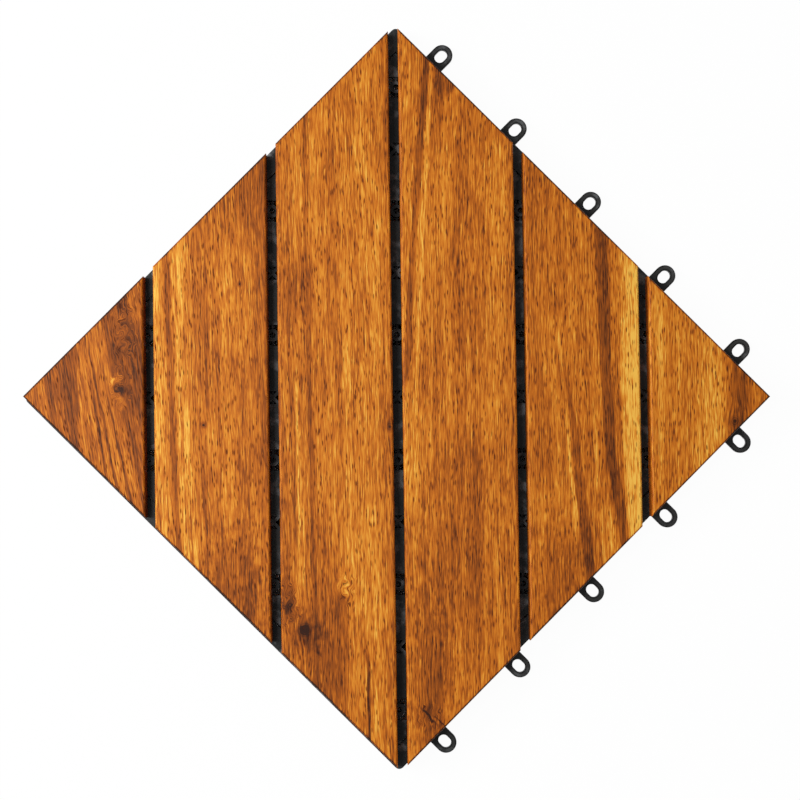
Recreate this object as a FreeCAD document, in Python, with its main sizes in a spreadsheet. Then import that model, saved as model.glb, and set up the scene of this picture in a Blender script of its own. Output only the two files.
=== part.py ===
import FreeCAD
import Part
import Sketcher
import math
import os
import re

# Interlocking deck tile, in millimetres. The origin is the middle of the tile
# on the ground, +Z is up, and the tile's edges run along X and Y. Six wooden
# slats lie across the tile from edge to edge on one diagonal, and screws
# driven from below hold them to a moulded plastic grid. The grid has five
# loops on each of its +X and +Y edges and five pegs under each of its -X and
# -Y edges, so that every tile snaps onto the next at the laying pitch.

# Driving dimensions: name, value, meaning
SIZES = [
    ("tile_pitch", 300, "laying pitch from one tile to the next"),
    ("base_gap", 1, "free gap between two laid grids"),
    ("base_height", 12, "ground to the underside of the slats"),
    ("base_corner", 3, "corner radius of the grid in plan"),
    ("foot_height", 2.5, "ground to the lowest edge of ribs and skirt"),
    ("foot_size", 7, "side of a square foot"),
    ("edge_foot_place", 30, "edge feet, along the edge from its middle"),
    ("edge_foot_inset", 4.5, "edge and corner feet, in from the grid's side"),
    ("skirt_wall", 2, "wall of the skirt round the grid"),
    ("flange_width", 10, "width of the flat rim under the slats' ends"),
    ("flange_thick", 2, "thickness of the flat rim"),
    ("cell_count", 6, "cells of the lattice along each side"),
    ("rib_wall", 1.8, "wall of the deep ribs between cells"),
    ("web_wall", 1.4, "wall of the shallow diagonal webs"),
    ("web_bottom", 6, "ground to the lowest edge of the webs"),
    ("strap_width", 8, "width of the flat straps along the slats"),
    ("strap_thick", 2, "thickness of the flat straps"),
    ("strap_drop", 0.6, "top of the straps below the top of the ribs"),
    ("strap_slot", 2.4, "open slot between a strap's end and a boss"),
    ("rim_slit", 0.8, "open slit between the straps and the rim"),
    ("column_sides", 12, "sides of the small columns and holes, near enough to round"),
    ("boss_size", 7.2, "diameter of a screw boss"),
    ("boss_bottom", 5, "ground to the seat of a screw's head"),
    ("boss_hole", 3.4, "clearance hole through a boss"),
    ("corner_boss_place", 90, "bosses under an end slat, along the edge"),
    ("corner_boss_inset", 10, "the same, in from the pitch line"),
    ("link_count", 5, "loops, or pegs, along one edge"),
    ("link_pitch", 60, "loop to loop, and peg to peg"),
    ("link_reach", 6.8, "pitch line to the axis of peg and loop"),
    ("loop_width", 12, "width of a loop"),
    ("loop_thick", 3, "thickness of a loop"),
    ("loop_edge", 0.7, "eased edge on top of a loop"),
    ("slot_width", 6, "width of the slot in a loop"),
    ("slot_length", 8, "length of the slot, pointing outwards"),
    ("notch_play", 1, "free space round a neighbour's loop"),
    ("peg_size", 5.2, "diameter of a peg"),
    ("peg_barb", 0.4, "snap lip of a peg, on the radius"),
    ("peg_end", 0.8, "ground to the end of a peg"),
    ("slat_width", 64.2, "width of a slat"),
    ("slat_gap", 5.5, "open gap between two slats"),
    ("slat_thick", 12, "thickness of a slat"),
    ("slat_ease", 1.2, "rounded upper arris of a slat"),
    ("deck_gap_x", 1.6, "free gap between two laid decks along X"),
    ("deck_gap_y", 4.4, "the same along Y"),
    ("lay_angle", 0.5, "slats' turn from the grid's diagonal, degrees"),
    ("screw_head", 6.4, "diameter of a screw's head"),
    ("screw_cap", 2.2, "height of a screw's head"),
    ("screw_shank", 3, "diameter of a screw"),
    ("screw_length", 15, "length of a screw under its head"),
    ("recess_depth", 1.2, "depth of the cross recess"),
    ("recess_span", 3.6, "span of the cross recess"),
    ("recess_slot", 0.8, "width of the recess's two slots"),
    ("pilot_play", 0.1, "pilot hole wider than the screw"),
]
NAMES = {name for name, value, meaning in SIZES}

doc = FreeCAD.newDocument("DeckTile")
sheet = doc.addObject("Spreadsheet::Sheet", "Sizes")
for row, (name, value, meaning) in enumerate(SIZES, start=1):
    sheet.set("A%d" % row, name)
    sheet.set("B%d" % row, str(value))
    sheet.set("C%d" % row, meaning)
    sheet.setAlias("B%d" % row, name)
doc.recompute()


def bind(thing, prop, formula):
    """Ties a property to a formula that is written in the sheet's names."""
    def cell(word):
        return "Sizes." + word.group(0) if word.group(0) in NAMES else word.group(0)
    thing.setExpression(prop, re.sub(r"[a-z]+(_[a-z]+)*", cell, formula))


def size(name):
    """A size's value, for a count or for the first guess of a sketch."""
    return float(getattr(sheet, name))


def new_body(label):
    body = doc.addObject("PartDesign::Body", label)
    body.Label = label
    body.AllowCompound = True
    return body


def origin_part(body, role):
    return next(f for f in body.Origin.OriginFeatures if f.Role == role)


def new_sketch(body, name, height="0", plane="XY_Plane", turn=0):
    """A sketch at a height over one of the body's own origin planes."""
    sketch = body.newObject("Sketcher::SketchObject", name)
    sketch.AttachmentSupport = [(origin_part(body, plane), "")]
    sketch.MapMode = "FlatFace"
    sketch.AttachmentOffset = FreeCAD.Placement(
        FreeCAD.Vector(0, 0, 0), FreeCAD.Rotation(FreeCAD.Vector(0, 0, 1), turn))
    bind(sketch, "AttachmentOffset.Base.z", height)
    return sketch


def rule(sketch, kind, *args, formula=None):
    """Adds one constraint, tied to a formula where it has a size."""
    index = sketch.addConstraint(Sketcher.Constraint(kind, *args))
    if formula:
        bind(sketch, "Constraints[%d]" % index, formula)


def place(sketch, shape, point, x, y):
    """Holds a point of a shape at x and y from the sketch's origin."""
    for kind, axis, formula in (("DistanceX", -2, x), ("DistanceY", -1, y)):
        if formula == "0":
            rule(sketch, "PointOnObject", shape, point, axis)
        else:
            rule(sketch, kind, -1, 1, shape, point, 1.0, formula=formula)


def polygon(sketch, points):
    """A closed outline through points given as pairs of formulas."""
    count = len(points)
    start = [FreeCAD.Vector(math.cos(2 * math.pi * i / count),
                            math.sin(2 * math.pi * i / count), 0) for i in range(count)]
    lines = [sketch.addGeometry(Part.LineSegment(start[i], start[(i + 1) % count]))
             for i in range(count)]
    for i, line in enumerate(lines):
        rule(sketch, "Coincident", line, 2, lines[(i + 1) % count], 1)
    for line, (x, y) in zip(lines, points):
        place(sketch, line, 1, x, y)


def rectangle(sketch, length, width, x="0", y="0"):
    """A rectangle with its middle at x and y."""
    left = "%s - (%s) / 2" % (x, length)
    right = "%s + (%s) / 2" % (x, length)
    low = "%s - (%s) / 2" % (y, width)
    high = "%s + (%s) / 2" % (y, width)
    polygon(sketch, [(left, low), (right, low), (right, high), (left, high)])


def column(sketch, diameter, x="0", y="0"):
    """A small column or hole: a regular outline, near enough to round."""
    sides = int(size("column_sides"))
    turns = [360 * (side + 0.5) / sides for side in range(sides)]
    polygon(sketch, [("%s + (%s) / 2 * cos(%g)" % (x, diameter, turn),
                      "%s + (%s) / 2 * sin(%g)" % (y, diameter, turn)) for turn in turns])


def rounded_square(sketch, side, radius):
    """A square with round corners, centred on the origin."""
    sides = []
    corners = []
    for quarter in range(4):
        angle = math.pi / 2 * quarter
        spin = FreeCAD.Rotation(FreeCAD.Vector(0, 0, 1), 90 * quarter)
        low = spin.multVec(FreeCAD.Vector(-2, -3, 0))
        high = spin.multVec(FreeCAD.Vector(2, -3, 0))
        middle = spin.multVec(FreeCAD.Vector(2, -2, 0))
        ring = Part.Circle(middle, FreeCAD.Vector(0, 0, 1), 1)
        sides.append(sketch.addGeometry(Part.LineSegment(low, high)))
        corners.append(sketch.addGeometry(
            Part.ArcOfCircle(ring, angle - math.pi / 2, angle)))
    for quarter in range(4):
        rule(sketch, "Tangent", sides[quarter], 2, corners[quarter], 1)
        rule(sketch, "Tangent", corners[quarter], 2, sides[(quarter + 1) % 4], 1)
        rule(sketch, "Vertical" if quarter % 2 else "Horizontal", sides[quarter])
        rule(sketch, "Radius", corners[quarter], 1.0, formula=radius)
    half = "(%s) / 2" % side
    rule(sketch, "DistanceY", sides[0], 1, -1, 1, 3.0, formula=half)
    rule(sketch, "DistanceX", -1, 1, sides[1], 1, 3.0, formula=half)
    rule(sketch, "DistanceY", -1, 1, sides[2], 1, 3.0, formula=half)
    rule(sketch, "DistanceX", sides[3], 1, -1, 1, 3.0, formula=half)


def round_ended(sketch, width, tip, tail, open_tail):
    """A straight tongue along X with a round end at the tip.

    The tip is the middle of that round. The tail is the middle of a second
    round, or, where the tail is open, a square end."""
    half = "(%s) / 2" % width
    up = FreeCAD.Vector(0, 0, 1)
    near = sketch.addGeometry(Part.LineSegment(FreeCAD.Vector(1, -1, 0), FreeCAD.Vector(4, -1, 0)))
    nose = sketch.addGeometry(Part.ArcOfCircle(
        Part.Circle(FreeCAD.Vector(4, 0, 0), up, 1), -math.pi / 2, math.pi / 2))
    far = sketch.addGeometry(Part.LineSegment(FreeCAD.Vector(4, 1, 0), FreeCAD.Vector(1, 1, 0)))
    rule(sketch, "Tangent", near, 2, nose, 1)
    rule(sketch, "Tangent", nose, 2, far, 1)
    rule(sketch, "Horizontal", near)
    rule(sketch, "Horizontal", far)
    rule(sketch, "Radius", nose, 1.0, formula=half)
    rule(sketch, "PointOnObject", nose, 3, -1)
    rule(sketch, "DistanceX", -1, 1, nose, 3, 4.0, formula=tip)
    if open_tail:
        end = sketch.addGeometry(Part.LineSegment(FreeCAD.Vector(1, 1, 0), FreeCAD.Vector(1, -1, 0)))
        rule(sketch, "Coincident", far, 2, end, 1)
        rule(sketch, "Coincident", end, 2, near, 1)
        rule(sketch, "Vertical", end)
        rule(sketch, "DistanceX", -1, 1, near, 1, 1.0, formula=tail)
    else:
        heel = sketch.addGeometry(Part.ArcOfCircle(
            Part.Circle(FreeCAD.Vector(1, 0, 0), up, 1), math.pi / 2, 3 * math.pi / 2))
        rule(sketch, "Tangent", far, 2, heel, 1)
        rule(sketch, "Tangent", heel, 2, near, 1)
        rule(sketch, "DistanceX", -1, 1, heel, 3, 1.0, formula=tail)


def pad(body, sketch, name, length):
    made = body.newObject("PartDesign::Pad", name)
    made.Profile = sketch
    bind(made, "Length", length)
    return made


def pocket(body, sketch, name, length):
    """Cuts upwards from the sketch's plane."""
    made = body.newObject("PartDesign::Pocket", name)
    made.Profile = sketch
    made.Reversed = True
    bind(made, "Length", length)
    return made


def row(body, name, axis, count, step):
    """One line of copies, for use inside a pattern."""
    line = body.newObject("PartDesign::LinearPattern", name)
    line.Direction = (origin_part(body, axis), [""])
    bind(line, "Occurrences", count)
    bind(line, "Length", "((%s) - 1) * (%s)" % (count, step))
    return line


def quarter_turn(body, name):
    """A second copy turned from the X edge to the Y edge."""
    turned = body.newObject("PartDesign::PolarPattern", name)
    turned.Axis = (origin_part(body, "Z_Axis"), [""])
    turned.Angle = 90
    turned.Occurrences = 2
    return turned


def pattern(body, name, features, steps):
    multi = body.newObject("PartDesign::MultiTransform", name)
    multi.Originals = features
    multi.Transformations = steps
    body.Tip = multi
    return multi


# Formulas that several pieces share
CELL = "(tile_pitch / cell_count)"
HALF = "(tile_pitch / 2)"
BASE_SIDE = "(tile_pitch - base_gap)"
FIRST_CELL = "(-tile_pitch / 2 + tile_pitch / cell_count / 2)"
FIRST_NODE = "(-tile_pitch / 2 + tile_pitch / cell_count)"
FIRST_LINK = "(-(link_count - 1) / 2 * link_pitch)"
STRAP_UNDER = "(base_height - strap_drop - strap_thick)"
SLIT_SIDE = "(tile_pitch - base_gap - 2 * flange_width - 2 * rim_slit)"
DIAGONAL = "sqrt(1 / 2)"


def lattice(body, name, features, count):
    """Copies on a square lattice at the cells' pitch."""
    return pattern(body, name, features, [
        row(body, name + "_along", "X_Axis", count, CELL),
        row(body, name + "_across", "Y_Axis", count, CELL)])


def two_edges(body, name, features):
    """Copies along a Y edge, and the same turned onto an X edge."""
    return pattern(body, name, features, [
        row(body, name + "_along", "Y_Axis", "link_count", "link_pitch"),
        quarter_turn(body, name + "_turned")])


def slat_wise(start, end, half_width):
    """Corners of a bar that runs with the slats.

    The bar lies on the line through the lattice's first corner, from start to
    end along that line, both measured on X."""
    aside = "(%s) * %s" % (half_width, DIAGONAL)
    corners = []
    for place_on_line, side in ((start, -1), (end, -1), (end, 1), (start, 1)):
        corners.append(("-%s - (%s) + %d * %s" % (HALF, place_on_line, side, aside),
                        "-%s + (%s) + %d * %s" % (HALF, place_on_line, side, aside)))
    return corners


def trim(body, name, side):
    """Cuts off all that lies outside a square."""
    cutter = new_sketch(body, name + "_limit")
    rectangle(cutter, "4 * tile_pitch", "4 * tile_pitch")
    rectangle(cutter, side, side)
    body.Tip = pocket(body, cutter, name + "_trim", "base_height")


def make_rim():
    """The skirt round the grid and the flat rim that closes it on top."""
    body = new_body("rim")
    skirt = new_sketch(body, "skirt_outline", "foot_height")
    rounded_square(skirt, BASE_SIDE, "base_corner")
    rounded_square(skirt, BASE_SIDE + " - 2 * skirt_wall", "base_corner - skirt_wall")
    pad(body, skirt, "skirt", "base_height - foot_height")
    flange = new_sketch(body, "flange_outline", "base_height - flange_thick")
    rounded_square(flange, BASE_SIDE + " - skirt_wall", "base_corner - skirt_wall / 2")
    rectangle(flange, BASE_SIDE + " - 2 * flange_width", BASE_SIDE + " - 2 * flange_width")
    pad(body, flange, "flange", "flange_thick")
    return body


def make_ribs(axis):
    """Deep ribs between the cells that follow each other along one axis."""
    name = "ribs_along_" + axis[0].lower()
    body = new_body(name)
    sketch = new_sketch(body, name + "_outline", "foot_height")
    length = BASE_SIDE + " - skirt_wall"
    if axis == "X_Axis":
        rectangle(sketch, "rib_wall", length, x=FIRST_NODE)
    else:
        rectangle(sketch, length, "rib_wall", y=FIRST_NODE)
    rib = pad(body, sketch, name + "_first", "base_height - foot_height")
    pattern(body, name + "_pattern", [rib], [
        row(body, name + "_row", axis, "cell_count - 1", CELL)])
    return body


def make_webs():
    """Shallow webs that carry the straps and bosses, one along every line."""
    body = new_body("webs")
    sketch = new_sketch(body, "web_outline", "web_bottom")
    polygon(sketch, slat_wise("0", "tile_pitch", "web_wall / 2"))
    web = pad(body, sketch, "web", STRAP_UNDER + " - web_bottom")
    pattern(body, "web_pattern", [web], [
        row(body, "web_row", "X_Axis", "2 * cell_count", CELL)])
    trim(body, "web", BASE_SIDE + " - skirt_wall")
    return body


def make_straps():
    """Flat straps under the gaps between the slats, from lattice node to boss.

    An open slot stays between a strap and the boss, and between a strap and
    the crossing of the ribs. The gaps lie over every second line of nodes."""
    body = new_body("straps")
    near = "rib_wall / 2 + strap_slot * %s" % DIAGONAL
    far = "%s / 2 - (boss_size / 2 + strap_slot) * %s" % (CELL, DIAGONAL)
    made = []
    for name, sign in (("strap_up", 1), ("strap_down", -1)):
        sketch = new_sketch(body, name + "_outline", STRAP_UNDER)
        polygon(sketch, slat_wise("%d * (%s)" % (sign, near), "%d * (%s)" % (sign, far),
                                  "strap_width / 2"))
        made.append(pad(body, sketch, name, "strap_thick"))
    shift = body.newObject("PartDesign::LinearPattern", "strap_shift")
    shift.Direction = (new_sketch(body, "strap_diagonal", turn=45), ["H_Axis"])
    shift.Occurrences = 2
    bind(shift, "Length", CELL + " / " + DIAGONAL)
    pairs = "floor(cell_count / 2) + 1"
    pattern(body, "strap_pattern", made, [
        row(body, "straps_along", "X_Axis", pairs, "2 * " + CELL),
        row(body, "straps_across", "Y_Axis", pairs, "2 * " + CELL), shift])
    trim(body, "strap", SLIT_SIDE)
    return body


def corner_bosses():
    """x and y of the four extra bosses, two under each end slat."""
    inset = "(%s - corner_boss_inset)" % HALF
    for sign in (1, -1):
        yield "%d * corner_boss_place" % sign, "%d * %s" % (sign, inset)
        yield "%d * %s" % (sign, inset), "%d * corner_boss_place" % sign


def make_bosses(name, diameter, bottom):
    """One column in every cell, and two more under each end slat."""
    body = new_body(name)
    sketch = new_sketch(body, name + "_outline", bottom)
    column(sketch, diameter, FIRST_CELL, FIRST_CELL)
    first = pad(body, sketch, name + "_first", "base_height - (%s)" % bottom)
    lattice(body, name + "_pattern", [first], "cell_count")
    extra = new_sketch(body, name + "_corner_outline", bottom)
    for x, y in corner_bosses():
        column(extra, diameter, x, y)
    pad(body, extra, name + "_corner", "base_height - (%s)" % bottom)
    return body


def make_feet():
    """Square feet under the crossings of the ribs, and taller ones at the edges."""
    body = new_body("feet")
    sketch = new_sketch(body, "foot_outline")
    rectangle(sketch, "foot_size", "foot_size", x=FIRST_NODE, y=FIRST_NODE)
    foot = pad(body, sketch, "foot", "foot_height")
    lattice(body, "foot_pattern", [foot], "cell_count - 1")
    edge = new_sketch(body, "edge_feet_outline")
    line = "(%s / 2 - edge_foot_inset)" % BASE_SIDE
    for side in (1, -1):
        across = "%d * %s" % (side, line)
        for along in (1, -1):
            beside = "%d * edge_foot_place" % along
            corner = "%d * %s" % (along, line)
            for x, y in ((across, beside), (beside, across), (across, corner)):
                rectangle(edge, "foot_size", "foot_size", x=x, y=y)
    pad(body, edge, "edge_feet", "base_height - flange_thick / 2")
    return body


def make_loops():
    """Five slotted loops on each of the +X and +Y edges."""
    body = new_body("loops")
    tip = "%s + link_reach + (slot_length - slot_width) / 2" % HALF
    tail = "%s + link_reach - (slot_length - slot_width) / 2" % HALF
    root = "%s / 2 - skirt_wall / 2" % BASE_SIDE
    made = []
    for name, base, thick in (("loop", "foot_height", "loop_thick - loop_edge"),
                              ("loop_top", "foot_height + loop_thick - loop_edge", "loop_edge")):
        sketch = new_sketch(body, name + "_outline", base)
        bind(sketch, "AttachmentOffset.Base.y", FIRST_LINK)
        round_ended(sketch, "loop_width", tip, root, True)
        made.append(pad(body, sketch, name, thick))
    made[1].TaperAngle = -45
    slot = new_sketch(body, "slot_outline", "foot_height")
    bind(slot, "AttachmentOffset.Base.y", FIRST_LINK)
    round_ended(slot, "slot_width", tip, tail, False)
    made.append(pocket(body, slot, "slot", "loop_thick"))
    two_edges(body, "loop_pattern", made)
    return body


def make_notches():
    """Notches in the skirt that let a neighbour's loops in."""
    body = new_body("notches")
    sketch = new_sketch(body, "notch_outline")
    bind(sketch, "AttachmentOffset.Base.y", FIRST_LINK)
    deep = "(link_reach + (slot_length - slot_width) / 2 + loop_width / 2 + notch_play)"
    rectangle(sketch, deep + " + base_gap", "loop_width + 2 * notch_play",
              x="-%s + %s / 2 - base_gap / 2" % (HALF, deep))
    notch = pad(body, sketch, "notch", "foot_height + loop_thick + notch_play")
    two_edges(body, "notch_pattern", [notch])
    return body


def make_pegs():
    """Barbed pegs that hang from the rim, one in each notch."""
    body = new_body("pegs")
    sections = []
    for name, height, diameter in (
            ("peg_tip", "peg_end", "peg_size - 2 * peg_barb"),
            ("peg_lip", "foot_height - 2 * peg_barb", "peg_size + 2 * peg_barb"),
            ("peg_neck", "foot_height", "peg_size"),
            ("peg_root", "base_height - flange_thick / 2", "peg_size")):
        sketch = new_sketch(body, name, height)
        bind(sketch, "AttachmentOffset.Base.x", "-%s + link_reach" % HALF)
        bind(sketch, "AttachmentOffset.Base.y", FIRST_LINK)
        column(sketch, diameter)
        sections.append(sketch)
    peg = body.newObject("PartDesign::AdditiveLoft", "peg")
    peg.Profile = sections[0]
    peg.Sections = sections[1:]
    peg.Ruled = True
    two_edges(body, "peg_pattern", [peg])
    return body


def fuse(name, pieces):
    made = doc.addObject("Part::MultiFuse", name)
    made.Shapes = pieces
    return made


def cut(name, solid, tool):
    made = doc.addObject("Part::Cut", name)
    made.Base = solid
    made.Tool = tool
    return made


def make_base():
    """The moulded grid: one solid with its loops and pegs."""
    walls = fuse("walls", [make_rim(), make_ribs("X_Axis"), make_ribs("Y_Axis"), make_webs(),
                           make_bosses("bosses", "boss_size", "boss_bottom")])
    openings = fuse("openings", [make_bosses("boss_holes", "boss_hole", "0"), make_notches()])
    base = fuse("base_grid", [cut("open_walls", walls, openings),
                              make_straps(), make_feet(), make_loops(), make_pegs()])
    base.Label = "base_grid"
    return base


# The slats are counted outwards from the tile's middle line, 1 to 3. Those on
# the other side of the line are the same three turned half round.

def screw_places(order):
    """x and y of each screw under the slat of that order.

    The bosses under the slat's middle line stand on one diagonal of the
    lattice. Its first and its last take a screw, and under the longest slat
    also the one halfway. The end slat is held at the two corner bosses."""
    if order == 3:
        return list(corner_bosses())[:2]
    steps = ["0"]
    if order == 1:
        steps.append("floor(cell_count / 2 - %d)" % order)
    places = []
    for step in steps:
        along = "((cell_count - 1) / 2 - %s)" % step
        across = "(%d - %s)" % (2 * order - 1, along)
        places.append((along + " * " + CELL, across + " * " + CELL))
    places.append(places[0][::-1])
    return places


def slat_outline(body, order):
    """The slat's plan: its long edges, and the deck's outline at its ends."""
    sketch = new_sketch(body, body.Name + "_outline", "base_height")
    near = size("slat_gap") / 2 + (order - 1) * (size("slat_width") + size("slat_gap"))
    far = near + size("slat_width")
    length = (size("tile_pitch") - size("deck_gap_x")) / 2
    width = (size("tile_pitch") - size("deck_gap_y")) / 2
    corner = FreeCAD.Vector(length, width, 0)
    upper = [FreeCAD.Vector(u * math.sqrt(2) - width, width, 0) for u in (near, far)]
    right = [FreeCAD.Vector(length, u * math.sqrt(2) - length, 0) for u in (near, far)]
    if order == 3:
        points = [right[0], corner, upper[0]]
    else:
        points = [right[0], right[1], upper[1], upper[0]]
    count = len(points)
    lines = [sketch.addGeometry(Part.LineSegment(points[i], points[(i + 1) % count]))
             for i in range(count)]
    for i, line in enumerate(lines):
        rule(sketch, "Coincident", line, 2, lines[(i + 1) % count], 1)
    inner = lines[-1]
    near_side = "slat_gap / 2 + %d * (slat_width + slat_gap)" % (order - 1)
    rule(sketch, "Vertical", lines[0])
    rule(sketch, "DistanceX", -1, 1, lines[0], 1, length, formula="(tile_pitch - deck_gap_x) / 2")
    rule(sketch, "Horizontal", lines[-2])
    rule(sketch, "DistanceY", -1, 1, lines[-2], 1, width, formula="(tile_pitch - deck_gap_y) / 2")
    rule(sketch, "Angle", inner, math.radians(-45), formula="-45 deg + lay_angle * 1 deg")
    rule(sketch, "Distance", -1, 1, inner, near, formula=near_side)
    if order < 3:
        rule(sketch, "Parallel", inner, lines[1])
        rule(sketch, "Distance", -1, 1, lines[1], far, formula=near_side + " + slat_width")
    return sketch


def upper_edges(feature):
    """Names of the edges round the top face."""
    middle = feature.Shape.BoundBox.Center.z
    return ["Edge%d" % number for number, edge in enumerate(feature.Shape.Edges, start=1)
            if edge.BoundBox.ZMin > middle]


def make_slat(number, order, half_turned):
    """One wooden slat with rounded arrises and pilot holes in its underside."""
    body = new_body("slat_%d" % number)
    sketch = slat_outline(body, order)
    board = pad(body, sketch, body.Name + "_board", "slat_thick")
    doc.recompute()
    eased = body.newObject("PartDesign::Fillet", body.Name + "_eased")
    eased.Base = (board, upper_edges(board))
    bind(eased, "Radius", "slat_ease")
    pilots = new_sketch(body, body.Name + "_pilot_outline", "base_height")
    for x, y in screw_places(order):
        column(pilots, "screw_shank + pilot_play", x, y)
    holes = pocket(body, pilots, body.Name + "_pilots",
                   "boss_bottom + screw_length + pilot_play - base_height")
    doc.recompute()
    if not holes.Shape.Volume < eased.Shape.Volume:
        raise ValueError(body.Name + ": the pilot holes cut nothing")
    if half_turned:
        body.Placement = FreeCAD.Placement(
            FreeCAD.Vector(0, 0, 0), FreeCAD.Rotation(FreeCAD.Vector(0, 0, 1), 180))
    return body


def make_screw():
    """One screw with a cross recess, its head's seat at the origin."""
    body = new_body("screw")
    for name, height, diameter, length in (("head", "-screw_cap", "screw_head", "screw_cap"),
                                           ("shank", "0", "screw_shank", "screw_length")):
        sketch = new_sketch(body, name + "_outline", height)
        column(sketch, diameter)
        pad(body, sketch, name, length)
    recess = new_sketch(body, "recess_outline", "-screw_cap")
    quarter = [("recess_span / 2", "recess_slot / 2"), ("recess_slot / 2", "recess_slot / 2"),
               ("recess_slot / 2", "recess_span / 2")]
    cross = []
    for sign_x, sign_y in ((1, 1), (-1, 1), (-1, -1), (1, -1)):
        corners = quarter if sign_x == sign_y else quarter[::-1]
        cross += [("%d * %s" % (sign_x, x), "%d * %s" % (sign_y, y)) for x, y in corners]
    polygon(recess, cross)
    pocket(body, recess, "recess", "recess_depth")
    return body


def make_screws():
    """All the screws, each driven up through a boss into its slat."""
    screw = make_screw()
    links = []
    for order in (1, 2, 3):
        for x, y in screw_places(order):
            for sign in (1, -1):
                link = doc.addObject("App::Link", "screw_at")
                link.LinkedObject = screw
                link.LinkTransform = True
                bind(link, "Placement.Base.x", "%d * (%s)" % (sign, x))
                bind(link, "Placement.Base.y", "%d * (%s)" % (sign, y))
                bind(link, "Placement.Base.z", "boss_bottom")
                links.append(link)
    screws = doc.addObject("Part::Compound", "deck_screws")
    screws.Links = links
    screws.Label = "deck_screws"
    return screws


def make_tile():
    nodes = [make_base()]
    for number in range(1, 7):
        half_turned = number <= 3
        order = 4 - number if half_turned else number - 3
        nodes.append(make_slat(number, order, half_turned))
    nodes.append(make_screws())
    doc.recompute()
    for thing in doc.Objects:
        if "Invalid" in thing.State or "Error" in thing.State:
            raise ValueError("%s: %s" % (thing.Name, thing.State))
    os.makedirs("parts", exist_ok=True)
    for node in nodes:
        if node.Shape.isNull() or not node.Shape.isValid():
            raise ValueError(node.Label + " has no valid shape")
        node.Shape.exportStep("parts/%s.step" % node.Label)
        print(node.Label, len(node.Shape.Solids), "solid(s)", round(node.Shape.Volume), "mm3")


make_tile()
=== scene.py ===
"""Looks of an interlocking deck tile: acacia slats laid on the diagonal of a black plastic grid."""

import math

import bmesh
import bpy
from bpy.props import FloatProperty, FloatVectorProperty, IntProperty, PointerProperty
from mathutils import Color, Matrix, Vector


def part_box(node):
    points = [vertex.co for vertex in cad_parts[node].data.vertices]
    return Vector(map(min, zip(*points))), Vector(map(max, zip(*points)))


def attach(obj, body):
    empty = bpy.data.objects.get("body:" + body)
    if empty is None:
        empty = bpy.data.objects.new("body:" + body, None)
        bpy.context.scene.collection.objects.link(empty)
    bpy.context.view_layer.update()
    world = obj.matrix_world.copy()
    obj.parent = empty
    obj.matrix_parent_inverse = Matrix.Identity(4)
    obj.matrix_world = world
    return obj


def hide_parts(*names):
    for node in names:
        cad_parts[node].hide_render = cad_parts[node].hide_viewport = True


bl_info = {
    "name": "Interlocking deck tile",
    "version": (1, 0, 0),
    "blender": (4, 5, 0),
    "location": "View3D > Sidebar > Deck tile",
    "description": "Finishes the slats, grid and screws of a deck tile and sets up its studio",
    "category": "Object",
}

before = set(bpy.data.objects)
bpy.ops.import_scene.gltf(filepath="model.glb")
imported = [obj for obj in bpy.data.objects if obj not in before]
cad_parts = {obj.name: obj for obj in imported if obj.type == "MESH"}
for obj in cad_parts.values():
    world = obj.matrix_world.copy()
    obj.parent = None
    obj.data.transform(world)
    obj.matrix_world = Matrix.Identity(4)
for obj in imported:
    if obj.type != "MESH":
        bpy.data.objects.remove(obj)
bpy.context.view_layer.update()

BODY = "root"
MM = 0.001

# How the slats lie: the direction across them, turned from the tile's X edge, and the distance
# between their middles in millimetres
SLAT_TURN = math.radians(45.5)
SLAT_PITCH = 69.7

# Screws under one half of the deck, in millimetres; half a turn round its middle gives the others.
# Their seat is the height at which their heads lie, and each is turned by so many radians from the last.
SCREW_PLACES = ((25, 25), (125, -75), (-75, 125), (125, 25), (25, 125), (90, 140), (140, 90))
SCREW_SEAT = 5.0
SCREW_TURN = 1.1

# Loops on the +X and +Y edges, in millimetres: how far out their middle is, their pitch, their width,
# their slot's width, and half the straight run of the slot's sides
LOOP_PLACE = 156.8
LOOP_PITCH = 60.0
LOOP_WIDTH = 12.0
LOOP_SLOT = 6.0
LOOP_STRAIGHT = 1.0

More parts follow.
